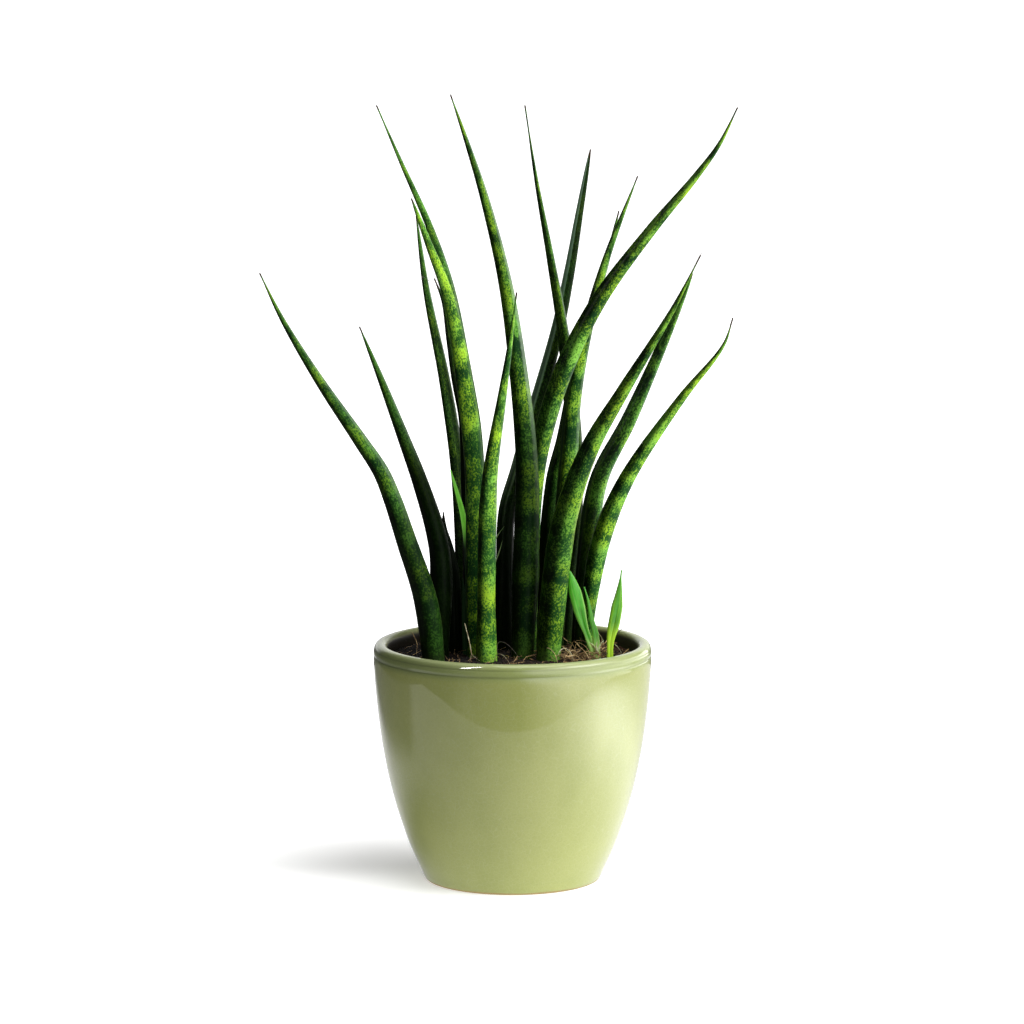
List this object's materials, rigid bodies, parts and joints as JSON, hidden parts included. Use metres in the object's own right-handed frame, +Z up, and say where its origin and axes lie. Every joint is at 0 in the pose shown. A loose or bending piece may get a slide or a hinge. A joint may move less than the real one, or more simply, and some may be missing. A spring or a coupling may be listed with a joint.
{
  "type": "potted snake plant",
  "caption": "Snake plant with round, tapering, upright leaves, standing in soil in a rounded, glazed ceramic pot with a bead rim.",
  "frame": {"origin": "centre of the pot's flat foot, on the surface that it stands on", "axes": "+Z up along the pot's axis; -Y is the front, with the leaves' widest spread along X"},
  "size_m": [0.2352, 0.1402, 0.3985],
  "materials": {
    "glaze": "glossy sage green glaze",
    "soil": "matt, crumbly and fibrous",
    "leaf": "satin dark green with paler cross bands and specks",
    "shoot": "satin bright green"
  },
  "bodies": {
    "root": {"cover_pot": "glaze", "soil": "soil", "leaf_far_left": "leaf", "leaf_second_left": "leaf", "leaf_short_dark": "leaf", "leaf_pale_edged_left": "leaf", "leaf_thin_dark_left": "leaf", "leaf_bright_left": "leaf", "leaf_tall_left": "leaf", "leaf_front_left": "leaf", "leaf_rear_crossing": "leaf", "leaf_tall_centre": "leaf", "leaf_long_right": "leaf", "leaf_narrow_rear_right": "leaf", "leaf_front_right": "leaf", "leaf_bright_rear_right": "leaf", "leaf_tall_dark_centre": "leaf", "leaf_rear_right": "leaf", "leaf_low_right": "leaf", "leaf_young_left": "shoot", "shoot_forked": "shoot", "shoot_small_right": "shoot"}
  },
  "joints": []
}
